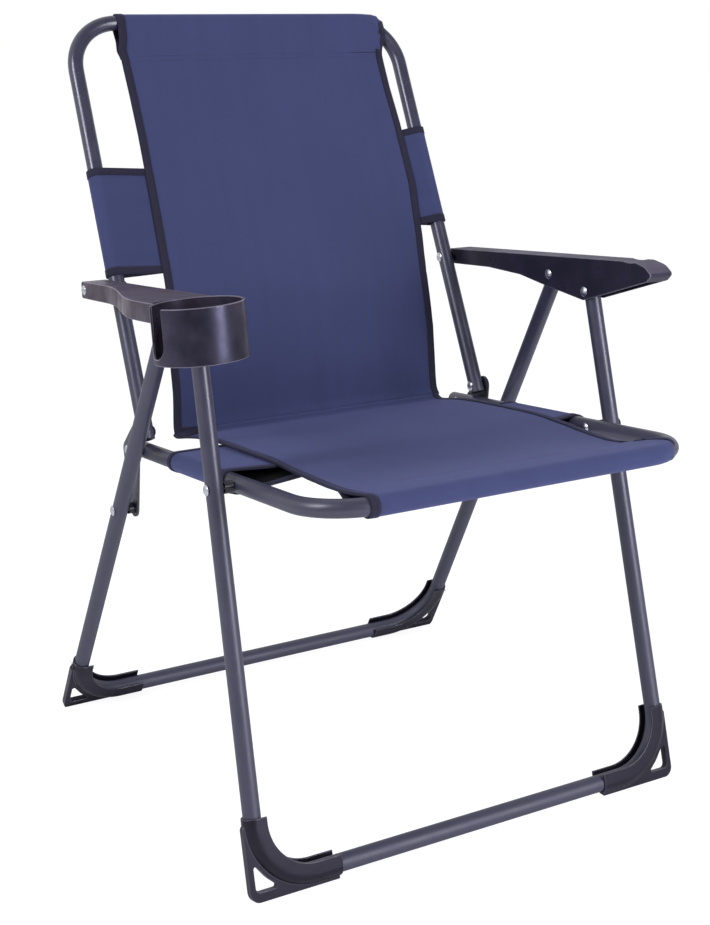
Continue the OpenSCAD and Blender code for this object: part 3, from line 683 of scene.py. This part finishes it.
def hand_over(cloth, tapes, threads, body, at, bend):
    """Bakes the transforms of a sheet's cloth, tapes and stitches, and hides the sheet's CAD node.
    """
    start, end = (at(s * MM, n * MM) for s, n in bend)
    for piece in (cloth, tapes, threads):
        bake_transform(piece)
    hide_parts(f"sling_{body}")


# ---- Settings ----


class CampChairCloth(bpy.types.PropertyGroup):
    """Cloth of the sling."""
    colour: StringProperty(name="Cloth colour", description="sRGB hex of the woven polyester",
                           default="#3d4467")
    binding: StringProperty(name="Binding colour", description="sRGB hex of the edge tape",
                            default="#2b2937")
    weave: FloatProperty(name="Weave pitch", description="Thread spacing drawn, in millimetres",
                         default=1.0, min=0.3, max=3.0)


class CampChairFinish(bpy.types.PropertyGroup):
    """Paint, plastic and metal."""
    paint: StringProperty(name="Paint colour", description="sRGB hex of the powder coat",
                          default="#3c3b4a")
    plate: StringProperty(name="Plate colour", description="sRGB hex of the link plates",
                          default="#3a3b42")
    plastic: StringProperty(name="Armrest colour", description="sRGB hex of the armrests",
                            default="#28252e")
    shoe: StringProperty(name="Shoe colour", description="sRGB hex of the corner shoes",
                         default="#1a181e")
    edge: FloatProperty(name="Edge radius", description="Rounding of the mouldings' edges",
                        default=0.9 * MM, min=0.2 * MM, max=1.2 * MM, unit="LENGTH", precision=4)


CHAIR_CLOTH = {}


def cloth_materials():
    """The woven cloth, its near-black coating with painted shade, its binding tape and the
    threads, made once.
    """
    if not CHAIR_CLOTH:
        c = bpy.context.scene.camp_chair_cloth
        # Polyester of 600 denier in a plain weave, matt, with a soft sheen at grazing angles.
        # Its threads are 0.5 mm apart, drawn at twice that so that they show.
        CHAIR_CLOTH["cloth"] = woven("navy woven polyester", c.colour, c.weave, 0.35)
        # Polyester tape with ribs across it, darker and flatter than the cloth.
        CHAIR_CLOTH["tape"] = woven("black polyester tape", c.binding, 1.4, 0.5, 0.9, 0.2, 0.05)
        # The seat tabs' inner face: a matt black coating, darkened to near black as painted shade
        # inside the loop.
        CHAIR_CLOTH["coat"] = woven("black cloth coating with painted shade", "#0c0c0e", c.weave, 0.1, 0.9, 0.0, 0.03)
        CHAIR_CLOTH["navy"] = moulded("navy polyester thread", "#22264a", 0.7, 0.0)
        # Paler than the cloth: a thread, and a painted highlight along the fold of the seat's
        # seam.
        CHAIR_CLOTH["pale"] = moulded("pale polyester thread with painted fold highlight", "#565c8a", 0.7, 0.0)
        CHAIR_CLOTH["black"] = moulded("black polyester thread", "#1f1d22", 0.7, 0.0)
    return CHAIR_CLOTH


def paint_node(name, material):
    """Gives a CAD node one material."""
    obj = frame["nodes"][name]
    obj.data.materials.clear()
    obj.data.materials.append(material)


def rounded_copy(node, name, material, paler, body, width):
    """Stands for a moulded CAD node with a copy of it whose edges are rounded, and paler as wear
    and as a painted highlight.

    Close vertices and flat seams go first, so that the bevel has room on both sides.
    """
    mesh = frame["nodes"][node].data.copy()
    obj = new_object(name, mesh, material)
    mesh.materials.append(paler)
    bm = bmesh.new()
    bm.from_mesh(mesh)
    bmesh.ops.remove_doubles(bm, verts=bm.verts, dist=0.5 * MM)
    bmesh.ops.dissolve_limit(bm, angle_limit=math.radians(1), verts=bm.verts, edges=bm.edges)
    bm.to_mesh(mesh)
    bm.free()
    bevel = obj.modifiers.new("edges", "BEVEL")
    bevel.width = width
    bevel.segments = 3
    bevel.limit_method = "ANGLE"
    bevel.angle_limit = math.radians(38)
    bevel.use_clamp_overlap = False
    bevel.material = list(mesh.materials).index(paler)
    settle(obj)
    obj.data.polygons.foreach_set("use_smooth", [True] * len(obj.data.polygons))
    obj.data.set_sharp_from_angle(angle=math.radians(32))
    even = obj.modifiers.new("even shading", "WEIGHTED_NORMAL")
    even.keep_sharp = True
    settle(obj)
    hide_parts(node)
    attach(obj, body)
    return obj


# ---- Pieces ----


class CAMPCHAIR_OT_frame(bpy.types.Operator):
    """Paint the bent tubes and link plates, and finish the rivets, bushes and plugs"""
    bl_idname = "camp_chair.frame"
    bl_label = "Frame, rivets and plugs"

    def execute(self, context):
        f = context.scene.camp_chair_finish
        # Steel tube, powder coated: an even satin skin with soft long highlights.
        paint = steel_paint("anthracite powder coat", f.paint)
        plate = steel_paint("link plate powder coat", f.plate)
        # Black polyamide: small turned-looking mouldings, a little shiny where they rub.
        nylon = moulded("black polyamide", "#1c1b1e", 0.42)
        # Steel rivets, zinc plated: the only bright points of the chair.
        rivet = zinc("zinc-plated steel", "#c9c9cc")
        for name in frame["nodes"]:
            if name.startswith("rivet"):
                paint_node(name, rivet)
            elif name.startswith("link_plate"):
                paint_node(name, plate)
            elif name.endswith("frame"):
                paint_node(name, paint)
            elif name.startswith(("bushes", "washers", "seat_end", "back_end")):
                paint_node(name, nylon)
        return {"FINISHED"}


class CAMPCHAIR_OT_armrests(bpy.types.Operator):
    """Round the edges of both armrests and give them their moulded finish"""
    bl_idname = "camp_chair.armrests"
    bl_label = "Armrests"

    def execute(self, context):
        f = context.scene.camp_chair_finish
        # Polypropylene, moulded with a fine grain: a soft broad gloss, blotchy from handling
        # and browner behind the cup, where an arm lies on it.
        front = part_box("armrest_cup")[0][1]
        tint = linear("#dadaff")
        # Their tops are paler: dust, and a painted sheen.
        worn = moulded("handled moulded polypropylene", f.plastic, 0.31, 0.10, 0.6, 0.16,
                       (front + 70 * MM, front + 130 * MM), Specular_Tint=tint)
        fresh = moulded("black moulded polypropylene", f.plastic, 0.31, 0.10, 0.3, 0.3,
                        Specular_Tint=tint)
        # The same on its rounded edges, where hands rub them: paler, and smoother. The paler
        # colour is also a painted highlight along the edges.
        edge = moulded("worn polypropylene edge with painted highlight", "#66616c", 0.28, 0.03)
        for node, body, m in (("armrest_cup", "arm_right", worn),
                              ("armrest_plain", "arm_left", fresh)):
            rounded_copy(node, f"{node}_moulding", m, edge, body, f.edge)
        return {"FINISHED"}


class CAMPCHAIR_OT_shoes(bpy.types.Operator):
    """Round the edges of the four corner shoes"""
    bl_idname = "camp_chair.shoes"
    bl_label = "Corner shoes"

    def execute(self, context):
        f = context.scene.camp_chair_finish
        # Polyethylene, moulded: black with a soft gloss, and glossier and paler on its rounded
        # edges, where it rubs. The paler colour is also a painted highlight along them.
        m = moulded("black moulded polyethylene", f.shoe, 0.33, 0.06, 0.2, 0.0,
                    Specular_IOR_Level=0.33, Specular_Tint=linear("#e6e0f6"))
        edge = moulded("worn polyethylene edge with painted highlight", "#3a3841", 0.22, 0.02)
        for row, body in (("front", "front_legs"), ("rear", "rear_legs")):
            for side in SIDES:
                rounded_copy(f"shoe_{row}_{side}", f"shoe_{row}_{side}_moulding", m, edge, body,
                             0.8 * f.edge)
        return {"FINISHED"}


class CAMPCHAIR_OT_sling_back(bpy.types.Operator):
    """Hang the back cloth from the top bar, with its casing, tapes and stitches"""
    bl_idname = "camp_chair.sling_back"
    bl_label = "Sling, back"

    def execute(self, context):
        m = cloth_materials()
        columns = [back_profile(j / COLUMNS, BACK_ROWS) for j in range(COLUMNS + 1)]
        cloth = cloth_sheet("sling_back_cloth", columns, m["cloth"])
        tapes = edge_tapes("sling_back_binding", columns, BACK_TAPE_W, m["tape"], m["black"])
        corner = folded_corner("back_corner", columns, m["tape"], 2.8, 1)
        tapes = joined("sling_back_binding", [tapes, corner])
        seam, low = (back_at(BACK_TOP - BACK_CASING - d) for d in (0, SEAM_PITCH))
        lift = CLOTH_T / 2
        threads = joined("sling_back_stitches", [
            seam_row(columns, seam, BACK_UP, HEM_ROWS, lift, m["navy"], "casing_thread"),
            seam_row(columns, low, BACK_UP, HEM_ROWS, lift, m["navy"], "casing_thread_low"),
            seam_row(columns, seam, BACK_UP, 0, -lift, m["navy"], "casing_thread_rear"),
            seam_row(columns, seam, BACK_UP, HEM_ROWS, lift, m["black"], "casing_tack",
                     (0.87, 0.99), THICK_THREAD_R)])
        hand_over(cloth, tapes, threads, "back", back_at, BACK_BEND)
        return {"FINISHED"}


class CAMPCHAIR_OT_sling_seat(bpy.types.Operator):
    """Stretch the seat cloth from the front bar to the crook"""
    bl_idname = "camp_chair.sling_seat"
    bl_label = "Sling, seat"

    def execute(self, context):
        m = cloth_materials()
        columns = [seat_profile(j / COLUMNS, SEAT_ROWS) for j in range(COLUMNS + 1)]
        cloth = cloth_sheet("sling_seat_cloth", columns, m["cloth"])
        tapes = edge_tapes("sling_seat_binding", columns, SEAT_TAPE_W, m["tape"], m["black"])
        corner = folded_corner("seat_corner", columns, m["tape"], 6.0, -1)
        tapes = joined("sling_seat_binding", [tapes, corner])
        seam = seat_at(SEAT_FRONT + SEAT_CASING)
        lift = -CLOTH_T / 2
        # The front row is pale and thick: stitches, and a painted highlight along the fold there.
        threads = joined("sling_seat_stitches", [
            seam_row(columns, seam, SEAT_IN, HEM_ROWS, lift, m["pale"], "seat_thread",
                     r=THICK_THREAD_R),
            seam_row(columns, seam, SEAT_IN, 0, -lift, m["navy"], "seat_thread_low")])
        hand_over(cloth, tapes, threads, "seat", seat_at, SEAT_BEND)
        return {"FINISHED"}


# Length of every side tab along its tube, and the rows and points that its loop is cut into.
TAB_LENGTH = 126 * MM
TAB_ROWS, TAB_POINTS = 24, 90
# How far inside the sling's edge the tabs are sewn, how far their layers then run on flat
# behind it, and how high the two layers lie there: off the back tubes, and off the seat cloth.
BACK_TAB_INSET, BACK_TAB_TUCK, BACK_TAB_LAYERS = 13 * MM, 13.6 * MM, (2.0 * MM, 3.4 * MM)
SEAT_TAB_INSET, SEAT_TAB_LAYERS = 30 * MM, (-5.4 * MM, -3.8 * MM)
# How far forward the seat tabs' hidden layer is drawn, the point of the loop where the layer
# ends, and the points over which the skew fades in.
SEAT_TAB_SKEW = 34 * MM
HIDDEN_TO, HIDDEN_FADE = 54, 16


def tab_loop(tube_x, seam, n_seam, side, at, tuck=0.0, steps=22):
    """Points of a loop round a tube in one cross plane, from a seam and back to it.

    seam is the seam's distance from the middle and n_seam the heights of the two layers there.
    The layers run flat for the length of tuck beyond the seam, behind the sling.
    """
    r = wrap_radius()
    inner = seam + tuck - tube_x
    first, last = (
        (math.atan2(n, inner) + way * math.acos(min(1.0, r / math.hypot(inner, n)))) % math.tau
        for n, way in zip(n_seam, (1, -1)))
    if last < first:
        last += math.tau
    turn = [first + (last - first) * k / steps for k in range(steps + 1)]
    points = [(inner, n_seam[0])] + [(r * math.cos(a), r * math.sin(a)) for a in turn]
    points.append((inner, n_seam[1]))
    if tuck:
        points = [(inner - tuck, n_seam[0])] + points + [(inner - tuck, n_seam[1])]
    return [at(n, side * (tube_x + x)) for x, n in points]


def hidden_share(k, i):
    """How much of the skew a loop's point k takes in row i, none past HIDDEN_TO."""
    fade = min(1.0, max(0.0, (HIDDEN_TO - k) / HIDDEN_FADE))
    return fade * (1 - 0.01 * k) * (1 - i / TAB_ROWS)


def make_tab(node, body, side, tube_x, seam, n_seam, where, start, tuck=0.0,
             skew=Vector((0, 0, 0)), lining=None):
    """A side tab: cloth looped round a tube, with tape round both of its ends.

    seam and n_seam give the seam's place at a distance along the tube, and where the point.
    skew moves the lower end of the loop's hidden layer, most where it meets the sling.
    """
    m = cloth_materials()
    name = f"{node}_cloth"
    columns = []
    for i in range(TAB_ROWS + 1):
        s = start + TAB_LENGTH * i / TAB_ROWS
        ring = stations(tab_loop(tube_x, seam(s), n_seam(s), side,
                                 lambda n, x, s=s: where(s, n, x), tuck), TAB_POINTS)
        columns.append([p + skew * hidden_share(k, i) for k, p in enumerate(ring)])
    if side < 0:
        columns = columns[::-1]
    cloth = cloth_sheet(name, columns, m["cloth"], lining)
    tapes = joined(f"{name}_binding", [
        edge_tape(f"{name}_{label}", columns, j, TAB_TAPE_W, m["tape"])[0]
        for label, j in (("low", 0), ("high", TAB_ROWS))])
    for piece in (cloth, tapes):
        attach(piece, body)
    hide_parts(node)


class CAMPCHAIR_OT_back_tabs(bpy.types.Operator):
    """Loop the side tabs round the back tubes"""
    bl_idname = "camp_chair.back_tabs"
    bl_label = "Back tabs"

    def execute(self, context):
        for label, side in SIDES.items():
            node = f"back_tab_{label}"
            start = (middle(node).z - BACK_FROM.z) / BACK_UP.z - TAB_LENGTH / 2
            make_tab(node, "back", side, BACK_X,
                     lambda s, side=side: abs(edge_at(BACK_EDGE, s, side)) - BACK_TAB_INSET,
                     lambda s: BACK_TAB_LAYERS, back_at, start, BACK_TAB_TUCK)
        return {"FINISHED"}


class CAMPCHAIR_OT_seat_tabs(bpy.types.Operator):
    """Loop the side tabs round the seat tubes"""
    bl_idname = "camp_chair.seat_tabs"
    bl_label = "Seat tabs"

    def execute(self, context):
        for label, side in SIDES.items():
            node = f"seat_tab_{label}"
            start = (middle(node).y - SEAT_FROM.y) / SEAT_IN.y - TAB_LENGTH / 2
            # Their inner face is near black: a black coating, and painted shade inside the loop.
            make_tab(node, "seat", side, SEAT_X,
                     lambda s, side=side: abs(edge_at(SEAT_EDGE, s, side)) - SEAT_TAB_INSET,
                     lambda s: [from_table(SEAT_RUN, s) + n for n in SEAT_TAB_LAYERS],
                     seat_at, start, skew=-SEAT_IN * SEAT_TAB_SKEW,
                     lining=cloth_materials()["coat"])
        return {"FINISHED"}


# ---- Stage ----


# Strip lamps: name, place, width, height and power. The key stands high on the camera's left,
# the fill low on its right.
LAMPS = (("key", (-2.35, -0.3, 1.95), 0.7, 1.3, 48.0),
         ("fill", (0.85, -2.1, 0.95), 0.75, 1.6, 50.0))
LAMP_TARGET = Vector((0, 0, 0.5))
LAMP_COLOUR = (0.86, 0.85, 1.0)
# Strength of the room in front of the chair and of the backdrop behind it, and the colour.
ROOM, BACKDROP = 0.16, 0.9
ROOM_COLOUR = (0.95, 0.95, 1.0, 1)
WHITE = (1, 1, 1, 1)
# The share of its own light that the camera sees in the floor, and that light's strength.
FLOOR_SHARE, FLOOR_GLOW = 0.74, 1.22
FLOOR_COLOUR, FLOOR_HALF = (0.88, 0.88, 0.89, 1), 8.0
# The camera's place and its turn in radians. The lens: its focal length and optical centre, and
# the width and height of its frame, all in the same unit.
CAMERA_AT = (-0.85327, -1.4624, 0.8434)
YAW, PITCH, ROLL = 0.5139, 0.1777, -0.0008
FOCAL, CENTRE_X, CENTRE_Y, WIDE, TALL = 1564.9, 320.9, 288.7, 710, 925


class CAMPCHAIR_OT_stage(bpy.types.Operator):
    """Set the pale floor, the soft studio light and the camera"""
    bl_idname = "camp_chair.stage"
    bl_label = "Stage, light and camera"

    def execute(self, context):
        scene = context.scene
        scene.view_settings.view_transform = "Standard"
        self.light_world(scene)
        self.lay_floor()
        for name, at, wide, tall, power in LAMPS:
            lamp = bpy.data.lights.new(name, "AREA")
            lamp.shape = "RECTANGLE"
            lamp.size, lamp.size_y = wide, tall
            lamp.energy = power
            lamp.color = LAMP_COLOUR
            o = bpy.data.objects.new(name, lamp)
            o.location = at
            o.rotation_euler = (LAMP_TARGET - Vector(at)).to_track_quat("-Z", "Y").to_euler()
            scene.collection.objects.link(o)
        self.place_camera(scene)
        return {"FINISHED"}

    def light_world(self, scene):
        """White to the camera. As a light, a bright backdrop behind and a dim room in front."""
        world = bpy.data.worlds.new("studio")
        scene.world = world
        world.use_nodes = True
        t = world.node_tree
        white = t.nodes["Background"]
        white.inputs["Color"].default_value = WHITE
        white.inputs["Strength"].default_value = 1.0
        path = add(t, "ShaderNodeLightPath").outputs
        seen = calc(t, "MAXIMUM", path["Is Camera Ray"], path["Is Transmission Ray"])
        way = axis_of(t, add(t, "ShaderNodeTexCoord").outputs["Generated"], "Y")
        depth = ranged(t, way, -0.35, 0.55, ROOM, BACKDROP, interpolation_type="SMOOTHSTEP")
        room = add(t, "ShaderNodeBackground", {"Strength": depth})
        room.inputs["Color"].default_value = ROOM_COLOUR
        mix = add(t, "ShaderNodeMixShader", {0: seen, 1: room.outputs[0], 2: white.outputs[0]})
        t.links.new(mix.outputs[0], t.nodes["World Output"].inputs["Surface"])

    def lay_floor(self):
        """A white floor that the camera sees almost as its own light, with a faint shadow."""
        mesh = bpy.data.meshes.new("studio_floor")
        corners = [(x * FLOOR_HALF, y * FLOOR_HALF, 0)
                   for x, y in ((-1, -1), (1, -1), (1, 1), (-1, 1))]
        mesh.from_pydata(corners, [], [(0, 1, 2, 3)])
        m = bpy.data.materials.new("white studio floor")
        m.use_nodes = True
        t = m.node_tree
        p = t.nodes["Principled BSDF"]
        p.inputs["Base Color"].default_value = FLOOR_COLOUR
        p.inputs["Roughness"].default_value = 0.8
        glow = add(t, "ShaderNodeEmission")
        glow.inputs["Color"].default_value = WHITE
        glow.inputs["Strength"].default_value = FLOOR_GLOW
        seen = add(t, "ShaderNodeLightPath").outputs["Is Camera Ray"]
        share = calc(t, "MULTIPLY", seen, FLOOR_SHARE)
        over = add(t, "ShaderNodeMixShader", {0: share, 1: p.outputs[0], 2: glow.outputs[0]})
        t.links.new(over.outputs[0], t.nodes["Material Output"].inputs["Surface"])
        new_object("studio_floor", mesh, m)

    def place_camera(self, scene):
        """A camera before the chair's right front corner, as high as its top, its lens shifted."""
        cam = bpy.data.cameras.new("camera")
        o = bpy.data.objects.new("camera", cam)
        scene.collection.objects.link(o)
        ahead = Vector((math.sin(YAW) * math.cos(PITCH), math.cos(YAW) * math.cos(PITCH),
                        -math.sin(PITCH)))
        roll = Matrix.Rotation(ROLL, 3, "Z").to_quaternion()
        o.rotation_euler = (ahead.to_track_quat("-Z", "Y") @ roll).to_euler()
        o.location = CAMERA_AT
        cam.sensor_width = 36.0
        cam.sensor_fit = "AUTO"
        cam.lens = FOCAL * cam.sensor_width / TALL
        cam.shift_x = (WIDE / 2 - CENTRE_X) / TALL
        cam.shift_y = (CENTRE_Y - TALL / 2) / TALL
        cam.clip_start = 0.05
        scene.camera = o


class CAMPCHAIR_PT_panel(bpy.types.Panel):
    """Lists the chair's settings and pieces."""
    bl_idname = "CAMPCHAIR_PT_panel"
    bl_label = "Camp chair"
    bl_space_type = "VIEW_3D"
    bl_region_type = "UI"
    bl_category = "Camp Chair"

    def draw(self, context):
        for group in (context.scene.camp_chair_cloth, context.scene.camp_chair_finish):
            for key in group.__annotations__:
                self.layout.prop(group, key)
        for piece in PIECES:
            self.layout.operator(piece.bl_idname)


PIECES = (CAMPCHAIR_OT_stage, CAMPCHAIR_OT_frame, CAMPCHAIR_OT_armrests, CAMPCHAIR_OT_shoes,
          CAMPCHAIR_OT_sling_back, CAMPCHAIR_OT_sling_seat, CAMPCHAIR_OT_back_tabs,
          CAMPCHAIR_OT_seat_tabs)
CLASSES = (CampChairCloth, CampChairFinish, CAMPCHAIR_PT_panel) + PIECES


def register():
    """Adds the add-on's classes and settings."""
    for c in CLASSES:
        bpy.utils.register_class(c)
    bpy.types.Scene.camp_chair_cloth = PointerProperty(type=CampChairCloth)
    bpy.types.Scene.camp_chair_finish = PointerProperty(type=CampChairFinish)


def unregister():
    """Takes the add-on's settings and classes out."""
    del bpy.types.Scene.camp_chair_finish
    del bpy.types.Scene.camp_chair_cloth
    for c in reversed(CLASSES):
        bpy.utils.unregister_class(c)


def main():
    """Runs every operator."""
    register()
    for piece in PIECES:
        group, name = piece.bl_idname.split(".")
        getattr(getattr(bpy.ops, group), name)()


if __name__ == "__main__":
    main()
